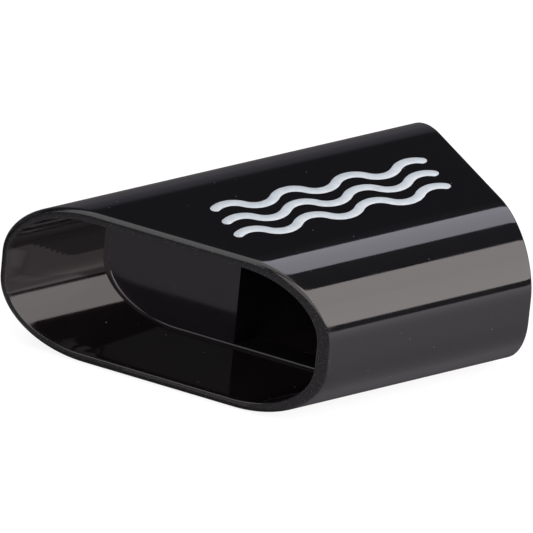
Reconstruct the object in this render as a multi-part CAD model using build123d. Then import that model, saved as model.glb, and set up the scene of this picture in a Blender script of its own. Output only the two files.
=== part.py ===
"""A rigid hollow swim float: a rounded sleeve with a slanted mouth, a pocket, a float chamber and a blind channel.

Frame: X along the sleeve, with the mouth at -X and the square end at +X; Y across it, with the long
side at +Y; Z up. The origin is under the middle of the sleeve's bounding box, on the surface that it
rests on.
"""

from build123d import *
import math
import os

# Sleeve
WIDTH = 124.0
HEIGHT = 80.0
CORNER_RADIUS = 34.0
CENTRE_LENGTH = 155.0
WALL = 5.0
MOUTH_ANGLE = 39.5
RIM_OUTER_RADIUS = 2.8
RIM_INNER_RADIUS = 0.8
END_EDGE_RADIUS = 0.8

# Baffle, recessed behind the mouth and parallel to it
POCKET_DEPTH = 49.5
SHEET = 2.5
BAFFLE_SKIRT = 12.0
BAFFLE_EDGE_RADIUS = 1.2
WINDOW_EDGE_RADIUS = 0.6
JAMB_Y = 7.0

# End plug
REBATE_WALL = 2.2
REBATE_DEPTH = 4.0
PLUG_SKIRT = 12.0
PLUG_CLEARANCE = 0.1
PLUG_EDGE = 0.5

# Fits inside the bore: flats meet, corners stay clear
CORNER_RELIEF = 0.5

# Foam core
FOAM_GAP = 0.5

# Printed waves on the top face
PRINT_THICKNESS = 0.1
WAVE_COUNT = 3
WAVE_PITCH = 11.0
WAVE_WIDTH = 4.6
WAVE_RADIUS = 11.0
WAVE_TURN = 90.0
WAVE_BENDS = 7
PRINT_CENTRE_X = 30.0
PRINT_CENTRE_Y = -1.0

# Worked out from the dimensions above
SLOPE = math.tan(math.radians(MOUTH_ANGLE))
STRETCH = math.hypot(1.0, SLOPE)
TIP_X = -CENTRE_LENGTH / 2 - SLOPE * WIDTH / 2 + RIM_OUTER_RADIUS * (STRETCH + SLOPE - 1.0)
SHIFT_X = -(TIP_X + CENTRE_LENGTH / 2) / 2
MOUTH_X = SHIFT_X - CENTRE_LENGTH / 2
END_X = SHIFT_X + CENTRE_LENGTH / 2
BAFFLE_X = MOUTH_X + POCKET_DEPTH
PLUG_INNER_X = END_X - REBATE_DEPTH
FAR = 2 * CENTRE_LENGTH


def section_prism(inset, x_start, x_end, relief=0.0):
    """The sleeve's rounded section, moved inwards by inset and drawn out along X."""
    radius = CORNER_RADIUS - inset + relief
    outline = RectangleRounded(WIDTH - 2 * inset, HEIGHT - 2 * inset, radius)
    plane = Plane(origin=(x_start, 0, HEIGHT / 2), x_dir=(0, 1, 0), z_dir=(1, 0, 0))
    return extrude(plane * outline, x_end - x_start)


def slant_plane(centre_x):
    """A plane parallel to the mouth that crosses the sleeve's middle at centre_x and faces inwards."""
    angle = math.radians(MOUTH_ANGLE)
    return Plane(origin=(centre_x, 0, 0), z_dir=(math.cos(angle), math.sin(angle), 0))


def behind(shape, centre_x):
    """The part of a shape that lies deeper than a slanted plane."""
    return split(shape, bisect_by=slant_plane(centre_x), keep=Keep.TOP)


def in_front(shape, centre_x):
    """The part of a shape that lies on the mouth side of a slanted plane."""
    return split(shape, bisect_by=slant_plane(centre_x), keep=Keep.BOTTOM)


def slant_face(shape, centre_x):
    """The flat face of a shape that lies in a slanted plane."""
    plane = slant_plane(centre_x)
    return min(shape.faces(), key=lambda face: abs(plane.to_local_coords(face.center()).Z))


def side_block(y_start, y_end):
    """Everything between two values of Y."""
    return Pos(0, (y_start + y_end) / 2, HEIGHT / 2) * Box(FAR, y_end - y_start, 2 * HEIGHT)


def make_shell():
    """The sleeve: slanted mouth with a rounded rim, and a rebate at the square end for the plug."""
    body = behind(section_prism(0, -FAR / 2, END_X), MOUTH_X)
    body = fillet(slant_face(body, MOUTH_X).edges(), RIM_OUTER_RADIUS)
    body = fillet(body.faces().sort_by(Axis.X)[-1].edges(), END_EDGE_RADIUS)
    body -= section_prism(WALL, -FAR / 2, FAR / 2)
    body -= section_prism(REBATE_WALL, PLUG_INNER_X, FAR / 2)
    inner_rim = slant_face(body, MOUTH_X).inner_wires()[0].edges()
    return fillet(inner_rim, RIM_INNER_RADIUS)


def make_baffle():
    """A slanted panel with a skirt behind it, cut away in front of the jamb to leave a low sill all round."""
    skirt_end = BAFFLE_X + BAFFLE_SKIRT
    body = behind(section_prism(WALL, -FAR / 2, FAR / 2, CORNER_RELIEF), BAFFLE_X)
    body = in_front(body, skirt_end)
    body = fillet(slant_face(body, BAFFLE_X).edges(), BAFFLE_EDGE_RADIUS)
    hollow = section_prism(WALL + SHEET, -FAR / 2, FAR / 2)
    body -= behind(hollow, BAFFLE_X + SHEET * STRETCH)
    body -= hollow & side_block(-WIDTH, JAMB_Y)
    window = slant_face(body, BAFFLE_X).inner_wires()[0].edges()
    return fillet(window, WINDOW_EDGE_RADIUS)


def make_end_plug():
    """A flush flange in the rebate, with a skirt that fits the bore."""
    flange = section_prism(REBATE_WALL + PLUG_CLEARANCE, PLUG_INNER_X, END_X)
    flange = chamfer(flange.faces().sort_by(Axis.X)[-1].edges(), PLUG_EDGE)
    skirt = section_prism(WALL, PLUG_INNER_X - PLUG_SKIRT, PLUG_INNER_X, CORNER_RELIEF)
    skirt -= section_prism(WALL + SHEET, PLUG_INNER_X - PLUG_SKIRT, PLUG_INNER_X)
    return flange + skirt


def make_divider(baffle, end_plug):
    """The upright wall between the float chamber and the channel, from the baffle to the plug."""
    height = HEIGHT - 2 * WALL
    sheet = Pos(0, JAMB_Y + SHEET / 2, HEIGHT / 2) * Box(FAR, SHEET, height)
    sheet = behind(sheet, BAFFLE_X + SHEET * STRETCH)
    sheet &= section_prism(WALL, -FAR / 2, PLUG_INNER_X)
    return sheet - baffle - end_plug


def make_foam_halves():
    """Two closed-cell foam slabs that fill the float chamber, one on the other."""
    core = section_prism(WALL + SHEET + FOAM_GAP, -FAR / 2, PLUG_INNER_X)
    core = behind(core, BAFFLE_X + SHEET * STRETCH)
    core &= side_block(JAMB_Y + SHEET, WIDTH)
    middle = Plane(origin=(0, 0, HEIGHT / 2), z_dir=(0, 0, 1))
    lower = split(core, bisect_by=middle, keep=Keep.BOTTOM)
    upper = split(core, bisect_by=middle, keep=Keep.TOP)
    return lower, upper


def wave_line(y):
    """A chain of equal arcs that turn left and right by turns, level along X."""
    half_turn = math.radians(WAVE_TURN / 2)
    span = 2 * WAVE_RADIUS * math.sin(half_turn)
    point = Vector(PRINT_CENTRE_X - span * WAVE_BENDS / 2, y)
    line = Curve()
    for bend in range(WAVE_BENDS):
        sign = 1 if bend % 2 == 0 else -1
        tangent = (math.cos(half_turn), sign * math.sin(half_turn))
        arc = JernArc(point, tangent, WAVE_RADIUS, -sign * WAVE_TURN)
        line += arc
        point = arc @ 1
    return line


def make_print(index):
    """One wave of ink, laid on the top face."""
    y = PRINT_CENTRE_Y + (index - (WAVE_COUNT - 1) / 2) * WAVE_PITCH
    band = trace(wave_line(y), WAVE_WIDTH)
    return extrude(Pos(0, 0, HEIGHT) * band, PRINT_THICKNESS)


def write(name, shape):
    """Save one node and say how large it is."""
    export_step(shape, f"parts/{name}.step")
    print(f"{name}: {len(shape.solids())} solid, {shape.volume / 1000:.1f} cm3, {shape.bounding_box()}")


os.makedirs("parts", exist_ok=True)
baffle_part = make_baffle()
plug_part = make_end_plug()
foam_lower, foam_upper = make_foam_halves()
write("sleeve", make_shell())
write("baffle", baffle_part)
write("divider_wall", make_divider(baffle_part, plug_part))
write("float_core_lower", foam_lower)
write("float_core_upper", foam_upper)
write("end_plug", plug_part)
for number in range(WAVE_COUNT):
    write(f"printed_wave_{number + 1}", make_print(number))
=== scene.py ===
# %% [markdown]
# # A rigid swim float, finished in Blender
#
# The design is already settled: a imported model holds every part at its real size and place. This
# lesson loads that model as a fixed frame and gives each part the surface that the real one has.
# Lengths are in metres. X runs along the float with its open mouth at -X, Y runs across it with the
# long side at +Y, and Z is up from the surface that it rests on.

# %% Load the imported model
import math

import bmesh
import bpy
import numpy as np
from mathutils import Matrix, Quaternion, Vector


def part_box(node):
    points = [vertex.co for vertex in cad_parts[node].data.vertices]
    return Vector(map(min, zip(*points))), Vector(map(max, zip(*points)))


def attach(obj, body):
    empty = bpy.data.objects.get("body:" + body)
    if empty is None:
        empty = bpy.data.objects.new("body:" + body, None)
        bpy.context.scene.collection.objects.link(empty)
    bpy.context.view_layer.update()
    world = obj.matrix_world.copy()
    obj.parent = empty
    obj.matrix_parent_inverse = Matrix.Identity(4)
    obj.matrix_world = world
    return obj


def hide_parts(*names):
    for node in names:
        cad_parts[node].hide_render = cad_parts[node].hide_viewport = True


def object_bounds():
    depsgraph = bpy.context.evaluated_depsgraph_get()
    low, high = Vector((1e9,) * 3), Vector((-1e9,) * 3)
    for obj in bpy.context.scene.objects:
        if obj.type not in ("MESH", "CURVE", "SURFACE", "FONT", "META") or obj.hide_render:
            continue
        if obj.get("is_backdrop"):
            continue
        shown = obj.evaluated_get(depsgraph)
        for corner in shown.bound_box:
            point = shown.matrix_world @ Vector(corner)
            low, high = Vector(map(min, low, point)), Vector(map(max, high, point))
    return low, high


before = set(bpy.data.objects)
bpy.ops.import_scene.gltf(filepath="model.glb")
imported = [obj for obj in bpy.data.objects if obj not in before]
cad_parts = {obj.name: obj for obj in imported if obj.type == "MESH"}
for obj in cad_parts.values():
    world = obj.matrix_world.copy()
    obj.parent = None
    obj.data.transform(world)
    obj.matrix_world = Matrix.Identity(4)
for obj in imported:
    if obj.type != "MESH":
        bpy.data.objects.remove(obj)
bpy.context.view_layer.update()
print("CAD nodes:", sorted(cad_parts))

# %% [markdown]
# ## Reading the sizes back from the frame
#
# Nothing is measured twice. The sleeve's own box gives its width, height and ends, and the baffle's
# box gives the thickness of the wall, because the baffle fills the bore from side to side. Only
# what a box can't tell is written down here: radii, the mouth's slant and the plug's rebate.

# %% Sizes of the sleeve
MM = 0.001
sleeve_low, sleeve_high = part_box("sleeve")
baffle_low, baffle_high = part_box("baffle")

WIDTH = sleeve_high.y - sleeve_low.y
HEIGHT = sleeve_high.z - sleeve_low.z
WALL = sleeve_high.y - baffle_high.y
END_X = sleeve_high.x
CORNER_RADIUS = 34 * MM
MOUTH_ANGLE = math.radians(39.5)
RIM_OUTER_RADIUS = 2.8 * MM
RIM_INNER_RADIUS = 0.8 * MM
END_EDGE_RADIUS = 0.8 * MM
REBATE_WALL = 2.2 * MM
REBATE_DEPTH = 4.0 * MM

SLOPE = math.tan(MOUTH_ANGLE)
STRETCH = math.hypot(1.0, SLOPE)


def middle_of_slant(tip_x, half_width, edge_radius):
    """Where a slanted plane crosses the middle of the float, given the rounded tip of its acute edge.

    The plane is x = middle - slope * y. A ball of the edge's radius in the acute corner reaches
    radius * (stretch + slope - 1) less far than the sharp corner would.
    """
    return tip_x + SLOPE * half_width - edge_radius * (STRETCH + SLOPE - 1.0)


MOUTH_X = middle_of_slant(sleeve_low.x, WIDTH / 2, RIM_OUTER_RADIUS)
print(f"width {WIDTH:.4f}, height {HEIGHT:.4f}, wall {WALL:.4f}, mouth crosses the middle at {MOUTH_X:.4f}")

# %% [markdown]
# ## Turning arrays into meshes
#
# Every new piece is a grid of points worked out with numpy. Rows of the grid go round one way and
# columns go round the other, and one helper joins neighbours into quads. When both directions
# close on themselves the result is a watertight ring, which is just what a tube with a wall is.


# %% Grid helpers
def closed_grid_faces(rows, columns, close_rows=True):
    """Quads between neighbours of a rows x columns grid whose columns wrap round.

    Corner indices are row * columns + column, taken in the order that faces a right-handed grid
    outwards. Rows wrap too when close_rows is true.
    """
    row = np.arange(rows if close_rows else rows - 1)[:, None]
    column = np.arange(columns)[None, :]
    next_row = (row + 1) % rows
    next_column = (column + 1) % columns
    corners = (
        row * columns + column,
        row * columns + next_column,
        next_row * columns + next_column,
        next_row * columns + column,
    )
    return np.stack(corners, axis=-1).reshape(-1, 4)


def make_mesh(name, points, faces, sharp_angle=40.0):
    """A mesh object at the origin, smooth except where faces meet at more than sharp_angle degrees."""
    mesh = bpy.data.meshes.new(name)
    mesh.from_pydata(points.reshape(-1, 3).tolist(), [], faces.tolist())
    mesh.shade_smooth()
    mesh.set_sharp_from_angle(angle=math.radians(sharp_angle))
    piece = bpy.data.objects.new(name, mesh)
    bpy.context.scene.collection.objects.link(piece)
    print(f"{name}: {len(mesh.vertices)} points, {len(mesh.polygons)} faces")
    return piece


# %% [markdown]
# ## The sleeve
#
# The sleeve is one moulding: a rounded rectangle drawn out along X and cut off at a slant. Boolean
# cuts and bevels could make it, but the slanted rim would get uneven bevels, and uneven bevels make
# a broken highlight on gloss plastic. So it is built the way a ball-nosed cutter would see it. Each
# point of the section has a place and an outward direction, and the wall's profile is carried round
# that section: outside wall, square end, bore, rolled inner edge, flat land, rolled outer edge.


# %% The section and its outward directions
ARC_STEPS = 56
FLAT_STEPS = 24
SIDE_STEPS = 6


def section_frame():
    """Corner centre (y, z) and outward angle for each point round the section, starting at +Y.

    On a corner the angle sweeps a quarter turn about a fixed centre. On a flat the angle stays
    still and the centre slides to the next corner. A point is centre + radius * (cos, sin).
    """
    reach_y = WIDTH / 2 - CORNER_RADIUS
    reach_z = HEIGHT / 2 - CORNER_RADIUS
    centres_y, centres_z, angles = [], [], []
    corners = [(reach_y, reach_z), (-reach_y, reach_z), (-reach_y, -reach_z), (reach_y, -reach_z)]
    for quarter, (y, z) in enumerate(corners):
        turn = np.linspace(0, math.pi / 2, ARC_STEPS, endpoint=False) + quarter * math.pi / 2
        next_y, next_z = corners[(quarter + 1) % 4]
        slide = np.linspace(0, 1, FLAT_STEPS if quarter % 2 == 0 else SIDE_STEPS, endpoint=False)
        centres_y += [np.full(ARC_STEPS, y), y + (next_y - y) * slide]
        centres_z += [np.full(ARC_STEPS, z), z + (next_z - z) * slide]
        angles += [turn, np.full(len(slide), (quarter + 1) * math.pi / 2)]
    return np.concatenate(centres_y), HEIGHT / 2 + np.concatenate(centres_z), np.concatenate(angles)


centre_y, centre_z, outward = section_frame()
print(f"{len(outward)} points round the section")


# %% Points and rolled edges on the wall
def wall_points(x, inset):
    """Points at depth inset under the outside of the section, at x (one number or one per point)."""
    radius = CORNER_RADIUS - inset
    y = centre_y + radius * np.cos(outward)
    z = centre_z + radius * np.sin(outward)
    return np.stack([np.broadcast_to(x, y.shape), y, z], axis=-1)


def on_slant(middle_x, inset, depth=0.0):
    """x of the slanted plane through middle_x, plus depth measured square to it, at a given inset."""
    y = centre_y + (CORNER_RADIUS - inset) * np.cos(outward)
    return middle_x - SLOPE * y + depth * STRETCH


def rolled_edge(centre, start, end, radius, steps):
    """Rows of points on a ball of this radius, turned evenly from direction start to direction end.

    Between two unit directions an angle w apart, the direction at share s is
    (sin((1 - s) w) start + sin(s w) end) / sin(w).
    """
    angle = np.arccos(np.clip((start * end).sum(axis=-1, keepdims=True), -1, 1))
    share = np.linspace(0, 1, steps)[:, None, None]
    direction = (np.sin((1 - share) * angle) * start + np.sin(share * angle) * end) / np.sin(angle)
    return centre + radius * direction


def straight(start, end, steps):
    """Rows evenly spaced from one ring of points to another, both ends left out."""
    share = np.linspace(0, 1, steps + 2)[1:-1, None, None]
    return start + (end - start) * share


# %% The sleeve's closed profile
OUTER_RIM_ROWS = 16
INNER_RIM_ROWS = 8
END_EDGE_ROWS = 8
WALL_ROWS = 40
LAND_ROWS = 2
WALL_OUT = np.stack([np.zeros_like(outward), np.cos(outward), np.sin(outward)], axis=-1)
TO_MOUTH = np.broadcast_to((-math.cos(MOUTH_ANGLE), -math.sin(MOUTH_ANGLE), 0.0), WALL_OUT.shape)
TO_END = np.broadcast_to((1.0, 0.0, 0.0), WALL_OUT.shape)


def sleeve_rows():
    """Rings of points in order round the wall's profile; the last ring meets the first again."""
    outer_inset = RIM_OUTER_RADIUS
    outer_centre = wall_points(on_slant(MOUTH_X, outer_inset, RIM_OUTER_RADIUS), outer_inset)
    inner_inset = WALL - RIM_INNER_RADIUS
    inner_centre = wall_points(on_slant(MOUTH_X, inner_inset, RIM_INNER_RADIUS), inner_inset)
    outer_rim = rolled_edge(outer_centre, TO_MOUTH, WALL_OUT, RIM_OUTER_RADIUS, OUTER_RIM_ROWS)
    inner_rim = rolled_edge(inner_centre, -WALL_OUT, TO_MOUTH, RIM_INNER_RADIUS, INNER_RIM_ROWS)
    end_centre = wall_points(END_X - END_EDGE_RADIUS, END_EDGE_RADIUS)
    end_edge = rolled_edge(end_centre, WALL_OUT, TO_END, END_EDGE_RADIUS, END_EDGE_ROWS)
    lip = wall_points(END_X, REBATE_WALL)
    shoulder_out = wall_points(END_X - REBATE_DEPTH, REBATE_WALL)
    shoulder_in = wall_points(END_X - REBATE_DEPTH, WALL)
    return np.concatenate(
        [
            outer_rim,
            straight(outer_rim[-1], end_edge[0], WALL_ROWS),
            end_edge,
            straight(end_edge[-1], lip, 1),
            lip[None],
            straight(lip, shoulder_out, 2),
            shoulder_out[None],
            straight(shoulder_out, shoulder_in, 1),
            shoulder_in[None],
            straight(shoulder_in, inner_rim[0], WALL_ROWS),
            inner_rim,
            straight(inner_rim[-1], outer_rim[0], LAND_ROWS),
        ]
    )


# The bore's rings run from the shoulder's inner corner to the first ring of the inner roll
rows = sleeve_rows()
BORE_END = len(rows) - LAND_ROWS - INNER_RIM_ROWS
BORE_START = BORE_END - WALL_ROWS - 1
sleeve = make_mesh("sleeve_moulding", rows, closed_grid_faces(*rows.shape[:2]))
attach(sleeve, "root")
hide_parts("sleeve")

# %% [markdown]
# ## The printed waves
#
# Three wavy lines of ink are screen-printed on the top face. A wave is a chain of equal arcs, so a
# text or curve object could draw it, but ink has two things that a plain strip lacks: round ends,
# where the stencil's corners fill in, and edges that thin out. Here a short cross-section is carried
# along the chain of arcs, and its width shrinks to nothing at both ends along a half circle.

# %% Sizes of the print
WAVE_COUNT = 3
WAVE_WIDTH = 4.6 * MM
WAVE_RADIUS = 11 * MM
WAVE_HALF_TURN = math.radians(45)
WAVE_BENDS = 7
wave_span = 2 * WAVE_RADIUS * math.sin(WAVE_HALF_TURN)
print(f"each bend covers {wave_span:.4f} m, {WAVE_BENDS} bends in a wave")


# %% One wave
def wave_centre(bends, start_x, start_y):
    """Points and headings along a chain of arcs; bends counts arcs passed, from 0 to WAVE_BENDS.

    In each arc the angle u runs from -45 to 45 degrees. The point is R (sin u + sin 45) along and
    R (cos u - cos 45) to the left or right by turns, and the heading is minus or plus u.
    """
    passed = np.minimum(np.floor(bends), WAVE_BENDS - 1)
    side = 1.0 - 2.0 * (passed % 2)
    u = (2.0 * (bends - passed) - 1.0) * WAVE_HALF_TURN
    along = passed * wave_span + WAVE_RADIUS * (np.sin(u) + math.sin(WAVE_HALF_TURN))
    across = side * WAVE_RADIUS * (np.cos(u) - math.cos(WAVE_HALF_TURN))
    return start_x + along, start_y + across, -side * u


def ink_wave(low, high):
    """Rings of a thin flat band along the wave; each ring is the band's cross-section.

    Half the width is W/2 * sqrt(1 - (1 - d / (W/2))^2) where d, the distance from the nearer end,
    is under W/2. Across the band the film is full height inside and thins to nothing at the edge.
    """
    arc = 2 * WAVE_HALF_TURN * WAVE_RADIUS
    length = WAVE_BENDS * arc
    turn = np.linspace(0, math.pi / 2, 14)
    round_end = (1 - np.cos(turn)) * WAVE_WIDTH / 2
    body = np.linspace(WAVE_WIDTH / 2, length - WAVE_WIDTH / 2, 340)[1:-1]
    distance = np.concatenate([round_end, body, length - round_end[::-1]])
    start_y = (low.y + high.y) / 2
    x, y, heading = wave_centre(distance / arc, low.x + wave_inset(low, high), start_y)
    to_end = np.clip(np.minimum(distance, length - distance) / (WAVE_WIDTH / 2), 0, 1)
    half = WAVE_WIDTH / 2 * np.sqrt(np.clip(1 - (1 - to_end) ** 2, 1e-6, 1))
    share = np.array([-1.0, -0.985, -0.95, 0.0, 0.95, 0.985, 1.0, 0.0])
    rise = np.array([0.0, 0.55, 1.0, 1.0, 1.0, 0.55, 0.0, 0.0])
    offset = half[:, None] * share[None, :]
    px = x[:, None] - np.sin(heading)[:, None] * offset
    py = y[:, None] + np.cos(heading)[:, None] * offset
    pz = np.broadcast_to(low.z + (high.z - low.z) * rise, px.shape)
    return np.stack([px, py, pz], axis=-1)


def wave_inset(low, high):
    """How far the chain of arcs starts inside the node's box, from the box's own length."""
    return ((high.x - low.x) - WAVE_BENDS * wave_span) / 2


# %% [markdown]
# ## The foam float
#
# Two die-cut slabs of closed-cell foam lie one on the other in the float chamber and give the
# buoyancy. They are hidden in the assembled float and show only when it is taken apart. Cloth
# simulation would be wrong for them, because stiff foam between hard walls doesn't sag. Each slab is
# one D-shaped outline drawn out along X, with the front cut at the baffle's slant, and its outline
# shrinks to a point at each end so that the ends are closed. A small bevel softens the cut edges.


# %% Foam outline and slabs
FOAM_BEVEL = 0.8 * MM
MERGE_DISTANCE = 0.002 * MM


def foam_outline(low, high, radius):
    """The D-shaped outline of the lower slab as y and z arrays, starting at the inner top corner.

    Down the flat inner side, along the bottom, round a quarter circle, up the outer side, and back
    along the top.
    """
    turn = np.linspace(-math.pi / 2, 0, 33)
    arc_y = high.y - radius + radius * np.cos(turn)
    arc_z = low.z + radius + radius * np.sin(turn)
    down = np.linspace(high.z, low.z, 13)[:-1]
    bottom = np.linspace(low.y, high.y - radius, 9)[:-1]
    top = np.linspace(high.y, low.y, 17)[:-1]
    y = np.concatenate([np.full(12, low.y), bottom, arc_y, top])
    z = np.concatenate([down, np.full(8, low.z), arc_z, np.full(16, high.z)])
    return y, z


def drawn_out(y, z, front, back, shares=9, lengths=38):
    """Rings from the front's middle out to its edge, along the block, and in to the back's middle.

    front and back are (middle, slope) pairs for the planes x = middle - slope * y.
    """
    grow = np.linspace(0, 1, shares)
    share = np.concatenate([grow, np.ones(lengths), grow[::-1]])
    travel = np.concatenate([np.zeros(shares), np.linspace(0, 1, lengths + 2)[1:-1], np.ones(shares)])
    ring_y = y.mean() + (y - y.mean()) * share[:, None]
    ring_z = z.mean() + (z - z.mean()) * share[:, None]
    front_x = front[0] - front[1] * ring_y
    back_x = back[0] - back[1] * ring_y
    x = front_x + (back_x - front_x) * travel[:, None]
    return np.stack([x, ring_y, ring_z], axis=-1)


def close_up(piece):
    """Merges coincident points, so that poles close, and turns every face outwards."""
    shape = bmesh.new()
    shape.from_mesh(piece.data)
    bmesh.ops.remove_doubles(shape, verts=shape.verts, dist=MERGE_DISTANCE)
    bmesh.ops.recalc_face_normals(shape, faces=shape.faces)
    shape.to_mesh(piece.data)
    shape.free()
    print(f"{piece.name}: {len(piece.data.vertices)} points after closing up")


def soften(piece, width, segments):
    """A bevel on sharp edges only, for edges that a blade or a mould leaves slightly round."""
    bevel = piece.modifiers.new("softened_edges", "BEVEL")
    bevel.width = width
    bevel.segments = segments
    bevel.limit_method = "ANGLE"
    bevel.angle_limit = math.radians(50)


# %% Make the foam slabs
foam_low, foam_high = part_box("float_core_lower")
foam_radius = CORNER_RADIUS - foam_low.z
foam_front = foam_low.x + SLOPE * foam_high.y
outline_y, outline_z = foam_outline(foam_low, foam_high, foam_radius)
foam_slabs = []
for name, node, level in (
    ("foam_slab_lower", "float_core_lower", outline_z),
    ("foam_slab_upper", "float_core_upper", HEIGHT - outline_z),
):
    rings = drawn_out(outline_y, level, (foam_front, SLOPE), (foam_high.x, 0.0))
    slab = make_mesh(name, rings, closed_grid_faces(*rings.shape[:2], close_rows=False))
    close_up(slab)
    soften(slab, FOAM_BEVEL, 3)
    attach(slab, "root")
    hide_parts(node)
    foam_slabs.append(slab)

# %% [markdown]
# ## The baffle
#
# The baffle is a moulding that stops the pocket: a plain panel at the mouth's slant, held by a low
# band that goes all round the bore and shows as a sill where the panel is cut away. The band's
# rounded front edge catches a thin line of light along the bottom, and the panel sits a little
# behind it. The band is the sleeve's own section carried round a small profile, and the panel is a
# D-shaped outline drawn out by its thickness, with a bevel along its free edge.

# %% Sizes of the baffle
BAFFLE_EDGE_RADIUS = 1.2 * MM
BAFFLE_SKIRT = 12 * MM
JAMB_Y = 7 * MM
SILL = 1.8 * MM
SILL_RADIUS = 1.2 * MM
PANEL_SETBACK = 0.6 * MM
PANEL_THICKNESS = 1.5 * MM
PANEL_RELIEF = 0.5 * MM
PANEL_BEVEL = 0.45 * MM
FIT = 0.02 * MM
JAMB_MARGIN = 0.1 * MM
BAFFLE_X = middle_of_slant(baffle_low.x, baffle_high.y, BAFFLE_EDGE_RADIUS)
print(f"the baffle's front crosses the middle at {BAFFLE_X:.4f}")


# %% Band and panel
def band_rows():
    """Rings round the band's profile: outer wall, back, inner wall, rolled front edge."""
    outer, inner = WALL + FIT, WALL + SILL
    centre_inset = inner - SILL_RADIUS
    front_out = wall_points(on_slant(BAFFLE_X, outer), outer)
    back_out = wall_points(on_slant(BAFFLE_X, outer) + BAFFLE_SKIRT, outer)
    back_in = wall_points(on_slant(BAFFLE_X, inner) + BAFFLE_SKIRT, inner)
    lip_centre = wall_points(on_slant(BAFFLE_X, centre_inset, SILL_RADIUS), centre_inset)
    lip = rolled_edge(lip_centre, -WALL_OUT, TO_MOUTH, SILL_RADIUS, 10)
    outside = [front_out[None], straight(front_out, back_out, 5), back_out[None]]
    inside = [straight(back_out, back_in, 1), back_in[None], straight(back_in, lip[0], 5)]
    return np.concatenate([*outside, *inside, lip])


def panel_outline():
    """The panel's D-shaped outline: along the bottom, round the far side, back along the top, down."""
    radius = CORNER_RADIUS - WALL - PANEL_RELIEF
    reach_y = WIDTH / 2 - CORNER_RADIUS
    reach_z = HEIGHT / 2 - CORNER_RADIUS
    top = reach_z + radius
    turn = np.linspace(0, math.pi / 2, 33)
    sine, cosine = radius * np.sin(turn), radius * np.cos(turn)
    run = np.linspace(JAMB_Y, reach_y, 13)[:-1]
    jamb = np.linspace(top, -top, 25)[1:-1]
    y = [run, reach_y + sine, reach_y + cosine, run[::-1], np.full_like(jamb, JAMB_Y)]
    z = [np.full_like(run, -top), -reach_z - cosine, reach_z + sine, np.full_like(run, top), jamb]
    return np.concatenate(y), HEIGHT / 2 + np.concatenate(z)


def on_free_edge(face):
    """True for a face of the panel's upright free edge, above the sill and facing the opening."""
    beside_jamb = 0 < face.center.y < JAMB_Y + JAMB_MARGIN
    return beside_jamb and face.center.z > WALL + SILL and face.normal.y < -0.9


# %% Make the baffle
band = band_rows()
panel_front = BAFFLE_X + PANEL_SETBACK * STRETCH
panel_planes = (panel_front, SLOPE), (panel_front + PANEL_THICKNESS * STRETCH, SLOPE)
panel = drawn_out(*panel_outline(), *panel_planes, shares=14, lengths=1)
band_faces = closed_grid_faces(*band.shape[:2])
panel_faces = closed_grid_faces(*panel.shape[:2], close_rows=False) + band.shape[0] * band.shape[1]
both = np.concatenate([band.reshape(-1, 3), panel.reshape(-1, 3)])
baffle = make_mesh("baffle_moulding", both, np.concatenate([band_faces, panel_faces]))
close_up(baffle)
free_edge = [int(on_free_edge(face)) for face in baffle.data.polygons]
baffle.data.polygons.foreach_set("material_index", free_edge)
print(f"{sum(free_edge)} faces belong to the panel's free edge")
soften(baffle, PANEL_BEVEL, 3)
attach(baffle, "root")
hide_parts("baffle")

# %% [markdown]
# ## Laying the waves down
#
# The waves wait until now because their ends close in the same way as the foam's and the panel's.
# Each takes its place, length and thickness from its own box in the frame.

# %% Make the waves
ink_waves = []
for number in range(1, WAVE_COUNT + 1):
    node = f"printed_wave_{number}"
    low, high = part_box(node)
    rings = ink_wave(low, high)
    wave = make_mesh(f"ink_wave_{number}", rings, closed_grid_faces(*rings.shape[:2], close_rows=False))
    close_up(wave)
    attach(wave, "root")
    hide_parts(node)
    ink_waves.append(wave)

# %% [markdown]
# ## Materials
#
# Black gloss plastic is nearly all reflection: its own colour hardly shows, and what the eye reads
# is how cleanly it mirrors the room. A plain dark colour with one roughness looks like a computer's
# black. So the work goes into roughness and into bumps far too small to model. The mould's polish
# leaves a faint grain, the wall sinks by hundredths of a millimetre as it cools, hands rub soft
# patches, the rim gets dull and nicked, and a few specks of dust settle.


# %% Node helpers
def new_material(name):
    """An empty node material with its output and main shader joined up."""
    material = bpy.data.materials.new(name)
    material.use_nodes = True
    tree = material.node_tree
    tree.nodes.clear()
    output = tree.nodes.new("ShaderNodeOutputMaterial")
    shader = tree.nodes.new("ShaderNodeBsdfPrincipled")
    tree.links.new(shader.outputs["BSDF"], output.inputs["Surface"])
    return material, tree, shader


def object_place(tree, stretch=(1.0, 1.0, 1.0)):
    """The point's place in the object's own metres, with each axis multiplied by stretch."""
    place = tree.nodes.new("ShaderNodeTexCoord")
    mapping = tree.nodes.new("ShaderNodeMapping")
    mapping.inputs["Scale"].default_value = stretch
    tree.links.new(place.outputs["Object"], mapping.inputs["Vector"])
    return mapping.outputs["Vector"]


def axes_of(tree, place):
    """A place's X, Y and Z as separate outputs."""
    parts = tree.nodes.new("ShaderNodeSeparateXYZ")
    tree.links.new(place, parts.inputs["Vector"])
    return parts.outputs


def object_noise(tree, scale, detail=3.0, roughness=0.5, stretch=(1.0, 1.0, 1.0)):
    """A noise texture in the object's own metres, so scale is the number of lumps in one metre."""
    noise = tree.nodes.new("ShaderNodeTexNoise")
    noise.inputs["Scale"].default_value = scale
    noise.inputs["Detail"].default_value = detail
    noise.inputs["Roughness"].default_value = roughness
    tree.links.new(object_place(tree, stretch), noise.inputs["Vector"])
    return noise.outputs["Fac"]


def spread(tree, value, low, high, start=0.0, end=1.0):
    """Maps a value that runs from start to end onto low to high, and holds it there outside."""
    node = tree.nodes.new("ShaderNodeMapRange")
    node.inputs["From Min"].default_value = start
    node.inputs["From Max"].default_value = end
    node.inputs["To Min"].default_value = low
    node.inputs["To Max"].default_value = high
    tree.links.new(value, node.inputs["Value"])
    return node.outputs["Result"]


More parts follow.
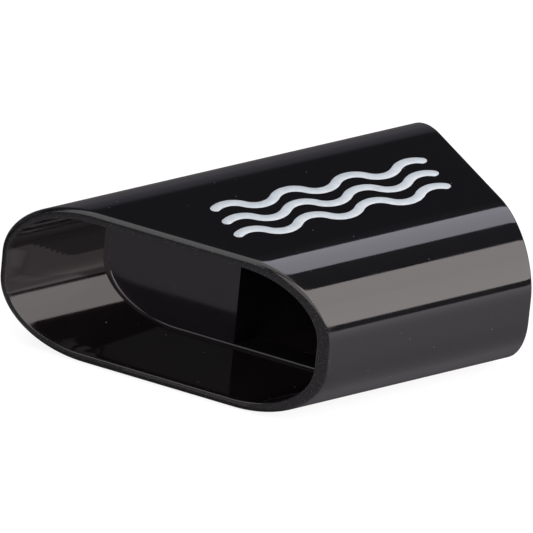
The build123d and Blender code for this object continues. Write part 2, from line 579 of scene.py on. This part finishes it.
def connect(tree, source, socket):
    """Joins a node's output to a socket, or sets a plain number or colour on it."""
    if isinstance(source, bpy.types.NodeSocket):
        tree.links.new(source, socket)
    elif isinstance(source, tuple):
        socket.default_value = (*source, 1.0)
    else:
        socket.default_value = source


def blend_colour(tree, share, first, second):
    """A colour between two others by a share from 0 to 1."""
    node = tree.nodes.new("ShaderNodeMix")
    node.data_type = "RGBA"
    connect(tree, share, node.inputs[0])
    connect(tree, first, node.inputs[6])
    connect(tree, second, node.inputs[7])
    return node.outputs[2]


def blend_number(tree, share, first, second):
    """A number between two others by a share from 0 to 1."""
    node = tree.nodes.new("ShaderNodeMix")
    connect(tree, share, node.inputs[0])
    connect(tree, first, node.inputs[2])
    connect(tree, second, node.inputs[3])
    return node.outputs[0]


def calculate(tree, operation, first, second):
    """One sum of two numbers."""
    node = tree.nodes.new("ShaderNodeMath")
    node.operation = operation
    connect(tree, first, node.inputs[0])
    connect(tree, second, node.inputs[1])
    return node.outputs[0]


def add_bump(tree, height, distance, before=None):
    """A bump node whose height of 1 stands distance metres proud, laid over an earlier bump."""
    node = tree.nodes.new("ShaderNodeBump")
    node.inputs["Distance"].default_value = distance
    tree.links.new(height, node.inputs["Height"])
    if before is not None:
        tree.links.new(before, node.inputs["Normal"])
    return node.outputs["Normal"]


# %% Masks for dust and for the rubbed rim
MOUTH_DISTANCE = MOUTH_X / STRETCH


def dust_specks(tree, per_metre, radius, share):
    """1 inside small round specks, 0 elsewhere; share is how many of the cells hold a speck."""
    cells = tree.nodes.new("ShaderNodeTexVoronoi")
    cells.inputs["Scale"].default_value = per_metre
    tree.links.new(object_place(tree), cells.inputs["Vector"])
    parts = tree.nodes.new("ShaderNodeSeparateColor")
    tree.links.new(cells.outputs["Color"], parts.inputs["Color"])
    chosen = calculate(tree, "LESS_THAN", parts.outputs["Red"], share)
    near = spread(tree, cells.outputs["Distance"], 1.0, 0.0, 0.5 * radius * per_metre, radius * per_metre)
    return calculate(tree, "MULTIPLY", chosen, near)


def along_mouth_axis(tree, place):
    """How far a place lies along the inward direction of the mouth's slanted plane.

    It is the dot product of the two, and equals MOUTH_DISTANCE on the plane itself.
    """
    depth = tree.nodes.new("ShaderNodeVectorMath")
    depth.operation = "DOT_PRODUCT"
    depth.inputs[1].default_value = (1 / STRETCH, SLOPE / STRETCH, 0.0)
    tree.links.new(place, depth.inputs[0])
    return depth.outputs["Value"]


def rim_wear(tree, reach):
    """1 on the mouth's rim, falling to 0 at reach metres behind the slanted plane of the mouth."""
    depth = along_mouth_axis(tree, object_place(tree))
    return spread(tree, depth, 1.0, 0.0, MOUTH_DISTANCE, MOUTH_DISTANCE + reach)


# %% Moulded black plastic
# How far each mark stands proud of the surface
RIPPLE_HEIGHT = 0.01 * MM
GRAIN_HEIGHT = 0.002 * MM
DUST_HEIGHT = 0.08 * MM
DUST_RADIUS = 0.22 * MM
DUST_GREY = (0.16, 0.155, 0.15)
NICK_REACH = 2.5 * MM
NICK_GREY = (0.05, 0.05, 0.052)
WORN_ROUGHNESS = 0.17


def black_plastic(name, black, gloss, rubbed, shine=0.5, rim_reach=None, lean=0.0):
    """Polished moulded plastic: roughness drifts between gloss and rubbed in hand-sized patches.

    lean is the draft of an upright face, as its slope: the face leans back by lean for each unit
    of height, which is too little to model but turns what it mirrors.
    """
    material, tree, shader = new_material(name)
    patches = object_noise(tree, 38.0, 4.0, 0.6)
    grain = object_noise(tree, 2300.0, 2.0)
    ripple = object_noise(tree, 70.0, 1.0)
    scratches = object_noise(tree, 60.0, 2.0, 0.6, (1.0, 24.0, 24.0))
    dust = dust_specks(tree, 210.0, DUST_RADIUS, 0.35)
    colour = blend_colour(tree, patches, black, tuple(1.6 * part for part in black))
    roughness = spread(tree, patches, gloss, rubbed, 0.35, 0.7)
    roughness = calculate(tree, "ADD", roughness, spread(tree, scratches, 0.0, 0.05, 0.62, 0.8))
    if rim_reach is not None:
        uneven = spread(tree, patches, 0.7, 1.0, 0.3, 0.7)
        worn = calculate(tree, "MULTIPLY", rim_wear(tree, rim_reach), uneven)
        spots = spread(tree, grain, 0.0, 1.0, 0.62, 0.7)
        nicks = calculate(tree, "MULTIPLY", rim_wear(tree, NICK_REACH), spots)
        roughness = blend_number(tree, worn, roughness, WORN_ROUGHNESS)
        colour = blend_colour(tree, nicks, colour, NICK_GREY)
    colour = blend_colour(tree, dust, colour, DUST_GREY)
    roughness = blend_number(tree, dust, roughness, 0.8)
    tree.links.new(colour, shader.inputs["Base Color"])
    tree.links.new(roughness, shader.inputs["Roughness"])
    shader.inputs["IOR"].default_value = 1.5
    shader.inputs["Specular IOR Level"].default_value = shine
    wide = add_bump(tree, ripple, RIPPLE_HEIGHT)
    if lean:
        height = axes_of(tree, object_place(tree))["Z"]
        wide = add_bump(tree, calculate(tree, "MULTIPLY", height, -1.0), lean, wide)
    fine = add_bump(tree, grain, GRAIN_HEIGHT, wide)
    tree.links.new(add_bump(tree, dust, DUST_HEIGHT, fine), shader.inputs["Normal"])
    return material


SLEEVE_BLACK = (0.0010, 0.0009, 0.0011)
BORE_BLACK = (0.0022, 0.0018, 0.0020)
sleeve_black = black_plastic("moulded_black", SLEEVE_BLACK, 0.05, 0.09, rim_reach=5 * MM)
bore_black = black_plastic("bore_black", BORE_BLACK, 0.07, 0.11, shine=0.35, rim_reach=3 * MM)
sleeve.data.materials.append(sleeve_black)
sleeve.data.materials.append(bore_black)

# %% Give the bore its own finish
columns = len(outward)
ring_of_face = np.arange(len(sleeve.data.polygons)) // columns
in_bore = (ring_of_face >= BORE_START) & (ring_of_face < BORE_END)
sleeve.data.polygons.foreach_set("material_index", in_bore.astype(np.int32))
print(f"{in_bore.sum()} faces belong to the bore")


# %% [markdown]
# ## The inserts
#
# The baffle, the divider wall and the end plug are separate mouldings pushed into the sleeve. The
# last two keep their design meshes and only get a finish. The baffle and plug are polished like the
# sleeve, but from another tool, so a little softer, and the panel leans back by its mould's draft.
# The divider is a plain sheet that nobody sees straight on, so it is left matt, like the panel's
# free edge, and the channel beside them stays dark.


# %% Dressing the parts that keep their design mesh
def dress(node, material):
    """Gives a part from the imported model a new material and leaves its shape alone."""
    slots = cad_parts[node].data.materials
    slots.clear()
    slots.append(material)
    print(f"{node} is dressed in {material.name}")


PANEL_BLACK = (0.0058, 0.0050, 0.0058)
PANEL_LEAN = math.tan(math.radians(5))
insert_black = black_plastic("insert_black", (0.0012, 0.0010, 0.0013), 0.10, 0.15)
panel_black = black_plastic("panel_black", PANEL_BLACK, 0.09, 0.13, lean=PANEL_LEAN)
sheet_black = black_plastic("sheet_black", (0.0008, 0.0006, 0.0009), 0.42, 0.55, shine=0.06)
baffle.data.materials.append(panel_black)
baffle.data.materials.append(sheet_black)
dress("end_plug", insert_black)
dress("divider_wall", sheet_black)


# %% [markdown]
# ## Foam and ink
#
# Closed-cell foam is matt and finely pitted, because the blade cuts open the bubbles at its skin.
# Cells from a Voronoi texture give the pits, with painted shade inside each, and a wide noise gives
# the cloudy grey. The ink is a thin semi-gloss film. Its pigment isn't quite even, the screen's mesh
# leaves a faint weave, and here and there a pinhole lets the black through.


# %% Foam
def foam_finish(name, grey):
    """Pits from small cells with painted shade inside each, cloudy colour from wide noise, and no gloss to
    speak of.
    """
    material, tree, shader = new_material(name)
    cells = tree.nodes.new("ShaderNodeTexVoronoi")
    cells.inputs["Scale"].default_value = 1100.0
    tree.links.new(object_place(tree), cells.inputs["Vector"])
    pits = spread(tree, cells.outputs["Distance"], 0.0, 1.0, 0.1, 0.6)
    clouds = object_noise(tree, 45.0, 4.0, 0.6)
    colour = blend_colour(tree, clouds, grey, tuple(1.7 * part for part in grey))
    # Painted shade: each pit's colour falls to half the foam's grey towards its centre
    colour = blend_colour(tree, pits, tuple(0.5 * part for part in grey), colour)
    tree.links.new(colour, shader.inputs["Base Color"])
    tree.links.new(spread(tree, pits, 0.95, 0.8), shader.inputs["Roughness"])
    shader.inputs["Specular IOR Level"].default_value = 0.25
    tree.links.new(add_bump(tree, pits, 0.0002), shader.inputs["Normal"])
    return material


foam_grey = foam_finish("closed_cell_foam", (0.035, 0.035, 0.04))
for slab in foam_slabs:
    slab.data.materials.append(foam_grey)


# %% Ink
def ink_finish(name, pale, thin):
    """A pale film that thins a little in patches, with a faint weave and a few dark pinholes."""
    material, tree, shader = new_material(name)
    clouds = object_noise(tree, 260.0, 4.0, 0.65)
    weave = object_noise(tree, 3200.0, 1.0)
    pinholes = dust_specks(tree, 420.0, 0.00013, 0.3)
    colour = blend_colour(tree, spread(tree, clouds, 0.0, 1.0, 0.3, 0.7), pale, thin)
    colour = blend_colour(tree, pinholes, colour, (0.02, 0.02, 0.022))
    tree.links.new(colour, shader.inputs["Base Color"])
    tree.links.new(spread(tree, clouds, 0.38, 0.5, 0.3, 0.7), shader.inputs["Roughness"])
    shader.inputs["IOR"].default_value = 1.48
    tree.links.new(add_bump(tree, weave, 0.000008), shader.inputs["Normal"])
    return material


ink_white = ink_finish("printed_ink", (0.40, 0.44, 0.46), (0.32, 0.36, 0.38))
for wave in ink_waves:
    wave.data.materials.append(ink_white)

# %% [markdown]
# ## Floor, light and camera
#
# Gloss black shows only what is around it, so the room is designed as carefully as the part. The
# floor is a lit white table, which leaves almost no shadow. What the plastic mirrors of a table is
# dimmer than what the eye sees, because lamps and dark studio walls hang over it, so a second sheet
# just below glows with a painted reflection of the table: painted shade next to the float, a painted
# pool of light out in front, and painted shadow behind and under the float. Ray visibility keeps the
# two apart, one for the camera and one for reflections.


# %% Floor
def flat_sheet(name, half, level):
    """A wide square facing up."""
    corners = [(-half, -half, level), (half, -half, level), (half, half, level), (-half, half, level)]
    return make_mesh(name, np.array(corners), np.array([[0, 1, 2, 3]]))


def lit_table():
    """White acrylic lit from below, with a very slight unevenness."""
    material, tree, shader = new_material("lit_table")
    cloud = object_noise(tree, 6.0, 2.0)
    tone = blend_colour(tree, cloud, (0.15, 0.15, 0.15), (0.17, 0.17, 0.17))
    tree.links.new(tone, shader.inputs["Base Color"])
    shader.inputs["Roughness"].default_value = 0.9
    shader.inputs["Specular IOR Level"].default_value = 0.1
    shader.inputs["Emission Color"].default_value = (1.0, 1.0, 1.0, 1.0)
    shader.inputs["Emission Strength"].default_value = 0.86
    return material


def brightness_ramp(tree, value, stops, peak):
    """Grey by a value along straight runs between (value, brightness) pairs, as a share of peak."""
    start, end = stops[0][0], stops[-1][0]
    ramp = tree.nodes.new("ShaderNodeValToRGB")
    tree.links.new(spread(tree, value, 0.0, 1.0, start, end), ramp.inputs["Fac"])
    points = ramp.color_ramp.elements
    while len(points) < len(stops):
        points.new(0.5)
    for point, (place, brightness) in zip(points, stops):
        point.position = (place - start) / (end - start)
        point.color = (*[brightness / peak] * 3, 1.0)
    return ramp.outputs["Color"]


def tinted(tree, colour, tint):
    """A colour multiplied by a fixed tint."""
    node = tree.nodes.new("ShaderNodeMix")
    node.data_type = "RGBA"
    node.blend_type = "MULTIPLY"
    connect(tree, 1.0, node.inputs[0])
    connect(tree, colour, node.inputs[6])
    connect(tree, tint, node.inputs[7])
    return node.outputs[2]


# Where the painted shadow under the float fades out: metres outside the mouth, and in from the long sides
MOUTH_FADE = (0.008, 0.002)
SIDE_FADE = (0.016, 0.002)
UNDER_FLOAT_SHADOW_GREY = (0.06, 0.06, 0.06)

# Painted brightness of the mirrored table along Y, as (y, brightness) pairs, and where along X the pool
# starts.
# NEAR_STOPS paint shade next to the float, FRONT_STOPS a pool of light in front, BEHIND_STOPS shadow
# behind.
BEHIND_STOPS = ((0.1, 0.1), (0.2, 0.1), (0.3, 0.19))
NEAR_STOPS = ((-0.11, 0.95), (-0.085, 0.75), (-0.06, 0.55), (0.03, 0.3))
FRONT_STOPS = ((-0.345, 0.2), (-0.332, 1.95), (-0.27, 1.75), (-0.16, 1.15))
BESIDE_STOPS = ((-0.3, 0.42), (0.05, 0.42))
POOL_EDGE = (-0.012, 0.022)
TABLE_PEAK = 2.0
TABLE_TINT = (1.0, 0.94, 1.0)


def painted_shadow_under_float(tree, place):
    """1 on the table under the float, where painted shadow lies, 0 elsewhere.

    It falls to 0 just outside the slanted mouth, and just inside the long sides, where the rounded
    section lets light in. The value is the product of the two.
    """
    depth = along_mouth_axis(tree, place)
    start, end = MOUTH_DISTANCE - MOUTH_FADE[0], MOUTH_DISTANCE - MOUTH_FADE[1]
    behind_mouth = spread(tree, depth, 0.0, 1.0, start, end)
    across = calculate(tree, "ABSOLUTE", axes_of(tree, place)["Y"], 0.0)
    between_sides = spread(tree, across, 1.0, 0.0, WIDTH / 2 - SIDE_FADE[0], WIDTH / 2 - SIDE_FADE[1])
    return calculate(tree, "MULTIPLY", behind_mouth, between_sides)


def painted_table_reflection():
    """A painted reflection of the table: a pool of light out in front, dimmer to the left, and painted
    shadow under the float.
    """
    material, tree, shader = new_material("painted_table_reflection")
    place = object_place(tree)
    axes = axes_of(tree, place)
    pool = brightness_ramp(tree, axes["Y"], FRONT_STOPS + NEAR_STOPS + BEHIND_STOPS, TABLE_PEAK)
    beside = brightness_ramp(tree, axes["Y"], BESIDE_STOPS + BEHIND_STOPS, TABLE_PEAK)
    in_pool = spread(tree, axes["X"], 0.0, 1.0, *POOL_EDGE)
    brightness = blend_colour(tree, in_pool, beside, pool)
    # Painted shadow: the table's painted reflection turns dark grey under the float
    brightness = blend_colour(tree, painted_shadow_under_float(tree, place), brightness, UNDER_FLOAT_SHADOW_GREY)
    brightness = tinted(tree, brightness, TABLE_TINT)
    shader.inputs["Base Color"].default_value = (0.0, 0.0, 0.0, 1.0)
    shader.inputs["Specular IOR Level"].default_value = 0.0
    tree.links.new(brightness, shader.inputs["Emission Color"])
    shader.inputs["Emission Strength"].default_value = TABLE_PEAK
    return material


SHEET_HALF = 4.0
floor = flat_sheet("floor", SHEET_HALF, -0.2 * MM)
floor.data.materials.append(lit_table())
floor.visible_glossy = False
floor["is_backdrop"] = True

# A glowing sheet seen only in reflections, carrying the painted reflection of the table
mirror_sheet = flat_sheet("mirror_sheet", SHEET_HALF, -0.6 * MM)
mirror_sheet.data.materials.append(painted_table_reflection())
mirror_sheet.visible_camera = False
mirror_sheet.visible_diffuse = False
mirror_sheet.visible_shadow = False
mirror_sheet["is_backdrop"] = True


# %% Lights
def soft_light(name, low, high, facing, radiance, colour=(1.0, 1.0, 1.0)):
    """A rectangular light that fills the box from low to high, which is flat along one axis.

    facing is the direction that it shines in. Its power is radiance * area * pi, which is what
    gives that brightness in a mirror.
    """
    low, high = Vector(low), Vector(high)
    data = bpy.data.lights.new(name, "AREA")
    data.shape = "RECTANGLE"
    turn = Vector(facing).to_track_quat("-Z", "Y")
    across = turn.inverted() @ (high - low)
    data.size, data.size_y = abs(across.x), abs(across.y)
    data.energy = radiance * data.size * data.size_y * math.pi
    data.color = colour
    light = bpy.data.objects.new(name, data)
    light.location = (low + high) / 2
    light.rotation_mode = "QUATERNION"
    light.rotation_quaternion = turn
    light.visible_camera = False
    bpy.context.scene.collection.objects.link(light)
    print(f"{name}: {data.size:.2f} by {data.size_y:.2f} m, {data.energy:.1f} W")
    return light


FRONT_LOW, FRONT_HIGH = (-0.04, -0.4, 0.0455), (0.9, -0.4, 0.666)
FRONT_RADIANCE = 4.7
FRONT_COLOUR = (1.0, 0.914, 0.90)
OVERHEAD_COLOUR = (1.0, 0.98, 1.11)
soft_light("overhead_light", (0.34, -0.037, 1.0), (1.3, 0.562, 1.0), (0, 0, -1), 3.6, OVERHEAD_COLOUR)
soft_light("overhead_left", (-0.9, -0.4, 1.0), (0.34, 0.56, 1.0), (0, 0, -1), 1.8)
soft_light("left_light", (-0.9, -0.6, 0.48), (-0.9, 0.3, 1.0), (1, 0, 0), 1.6)
front = soft_light("front_light", FRONT_LOW, FRONT_HIGH, (0, 1, 0), FRONT_RADIANCE, FRONT_COLOUR)
soft_light("front_left", (-0.4, -0.4, 0.0455), (-0.04, -0.4, 0.666), (0, 1, 0), 2.0, FRONT_COLOUR)
reach = soft_light(
    "front_light_on_sleeve", FRONT_LOW, FRONT_HIGH, (0, 1, 0), FRONT_RADIANCE, FRONT_COLOUR
)


# %% [markdown]
# ## Light that reaches into the mouth
#
# The far wall of a deep black pocket mirrors only more black, unless something pale is put where it
# can see it. Light linking does that here. The front light comes as a pair: one shines on
# everything but the sleeve, and is blocked as light is. The other shines on the sleeve alone and
# ignores the float as a blocker, so the pocket's far wall mirrors it all the way in. A row of small
# lights stands just in front of the far wall and faces it, like cards on edge. They give the broad
# grey patch above the bright band, and their heads step down towards the baffle, which leaves a
# dark gap under the roof. The mouth card lies on the table outside the lower lip and lights its
# land. Only the sleeve sees any of them.


# %% Light linking
def linked(name, pieces, state):
    """A collection that lists pieces for light linking, each to be included or excluded."""
    group = bpy.data.collections.new(name)
    for piece in pieces:
        group.objects.link(piece)
    for entry in group.collection_objects:
        entry.light_linking.link_state = state
    return group


everything = [*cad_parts.values(), sleeve, baffle, *foam_slabs, *ink_waves]
see_through = linked("float_lets_light_in", everything, "EXCLUDE")
only_sleeve = linked("only_the_sleeve", [sleeve], "INCLUDE")
front.light_linking.receiver_collection = linked("all_but_the_sleeve", [sleeve], "EXCLUDE")

# %% Cards in front of the far wall
CARD_COLOUR = (1.0, 0.88, 0.91)
CARD_Y = 0.0535
CARD_FOOT = 0.0251
CARD_STEP = 0.0285
CARD_START, CARD_END = -0.110, -0.040
FALL_START, FALL_END = -0.088, -0.062
HEAD_HEIGHT = 0.0450
HEAD_FALL = 0.0105

# A dimmer strip along the foot, then the row, whose heads fall along a smooth step
strip_low, strip_high = (CARD_START, CARD_Y, CARD_FOOT), (CARD_END, CARD_Y, CARD_STEP)
cards = [soft_light("wall_card_low", strip_low, strip_high, (0, 1, 0), 0.2, CARD_COLOUR)]
card_edges = [CARD_START, *np.linspace(FALL_START, FALL_END, 10).tolist(), CARD_END]
for left, right in zip(card_edges[:-1], card_edges[1:]):
    share = ((left + right) / 2 - FALL_START) / (FALL_END - FALL_START)
    share = min(max(share, 0.0), 1.0)
    head = HEAD_HEIGHT - HEAD_FALL * share * share * (3 - 2 * share)
    low, high = (left, CARD_Y, CARD_FOOT), (right, CARD_Y, head)
    cards.append(soft_light(f"wall_card_{len(cards)}", low, high, (0, 1, 0), 0.48, CARD_COLOUR))

# %% The mouth card, turned to lie along the mouth, and who sees the cards
MOUTH_CARD_AWAY = 8 * MM
card_low, card_high = (0.0, -0.010, 0.001), (0.010, 0.050, 0.001)
mouth_card = soft_light("mouth_card", card_low, card_high, (0, 0, 1), 0.3, CARD_COLOUR)
deep, along = MOUTH_DISTANCE - MOUTH_CARD_AWAY, mouth_card.location.y
mouth_card.location.x = deep * math.cos(MOUTH_ANGLE) - along * math.sin(MOUTH_ANGLE)
mouth_card.location.y = deep * math.sin(MOUTH_ANGLE) + along * math.cos(MOUTH_ANGLE)
mouth_card.rotation_quaternion = Quaternion((0, 0, 1), MOUTH_ANGLE) @ mouth_card.rotation_quaternion
cards.append(mouth_card)
for light in (reach, *cards):
    light.light_linking.receiver_collection = only_sleeve
    light.light_linking.blocker_collection = see_through


# %% Room
# Brightness by the sine of the height above the horizon
ROOM_STOPS = ((0.0, 0.25), (0.38, 0.23), (0.48, 0.09), (0.56, 0.08), (0.72, 0.14), (1.0, 0.22))
ROOM_TINT = (1.0, 0.96, 1.1)


def make_room():
    """Dim grey walls, darkest half way up."""
    world = bpy.data.worlds.new("room")
    world.use_nodes = True
    tree = world.node_tree
    sky = tree.nodes["Background"]
    place = tree.nodes.new("ShaderNodeTexCoord")
    height = axes_of(tree, place.outputs["Generated"])["Z"]
    grey = brightness_ramp(tree, height, ROOM_STOPS, 1.0)
    tree.links.new(tinted(tree, grey, ROOM_TINT), sky.inputs["Color"])
    sky.inputs["Strength"].default_value = 1.0
    bpy.context.scene.world = world


make_room()


# %% Camera
CAMERA_ANGLES = (-31.68, 33.71, 5.66)
CAMERA_DISTANCE = 5.847
CAMERA_LENS = 884.2
CAMERA_AIM = (0.007, 0.0116, 0.0415)


def make_camera():
    """A long lens far away, turned about its own line of sight by the roll angle."""
    azimuth, elevation, roll = (math.radians(angle) for angle in CAMERA_ANGLES)
    level = math.cos(elevation)
    back = Vector((math.sin(azimuth) * level, -math.cos(azimuth) * level, math.sin(elevation)))
    side = Vector((0, 0, 1)).cross(back).normalized()
    rise = back.cross(side)
    right = side * math.cos(roll) + rise * math.sin(roll)
    up = rise * math.cos(roll) - side * math.sin(roll)
    data = bpy.data.cameras.new("camera")
    data.lens = CAMERA_LENS
    data.clip_end = 20.0
    camera = bpy.data.objects.new("camera", data)
    turn = Matrix((right, up, back)).transposed()
    place = Vector(CAMERA_AIM) + back * CAMERA_DISTANCE
    camera.matrix_world = Matrix.Translation(place) @ turn.to_4x4()
    bpy.context.scene.collection.objects.link(camera)
    bpy.context.scene.camera = camera


make_camera()
bpy.context.scene.view_settings.view_transform = "Standard"

# %% Sizes, for comparison with the design
low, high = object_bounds()
print("visual box:", [round(v, 4) for v in (*low, *high)])
